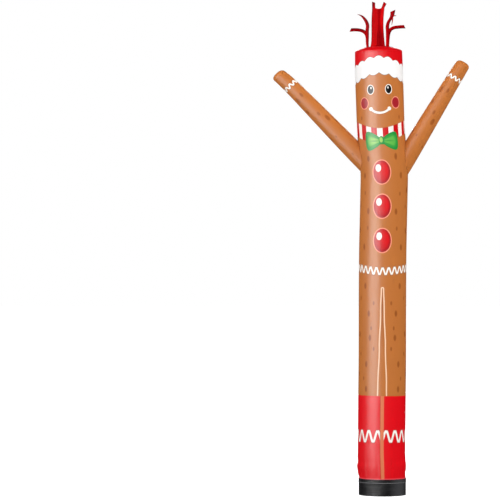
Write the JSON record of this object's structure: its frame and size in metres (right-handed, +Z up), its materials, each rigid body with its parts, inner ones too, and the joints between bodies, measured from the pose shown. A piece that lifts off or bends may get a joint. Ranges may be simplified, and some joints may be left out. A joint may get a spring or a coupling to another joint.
{
  "type": "inflatable air dancer",
  "caption": "Tall inflated cloth tube figure on a dark base collar for an air outlet, with two raised tapered arms, a domed top and cloth streamers for hair.",
  "frame": {"origin": "on the ground, midway between the tips of the two arms; the axis of the base collar stands at X 0.0736 m", "axes": "+Z up along the tube, -Y to the front, which carries the face, +X to the viewer's right"},
  "size_m": [1.2846, 0.3232, 3.2411],
  "materials": {
    "collar_cloth": "heavy black woven band, dull",
    "printed_cloth": "thin printed ripstop, smooth with a soft sheen",
    "arm_cloth": "thin printed ripstop, smooth with a soft sheen",
    "top_cloth": "thin red ripstop with a soft sheen",
    "hair_cloth": "thin red ribbon cloth, cut edges"
  },
  "bodies": {
    "root": {"base_collar": "collar_cloth", "body_tube": "printed_cloth", "arm_left": "arm_cloth", "arm_right": "arm_cloth", "top_panel": "top_cloth", "hair_streamers": "hair_cloth"}
  },
  "joints": []
}
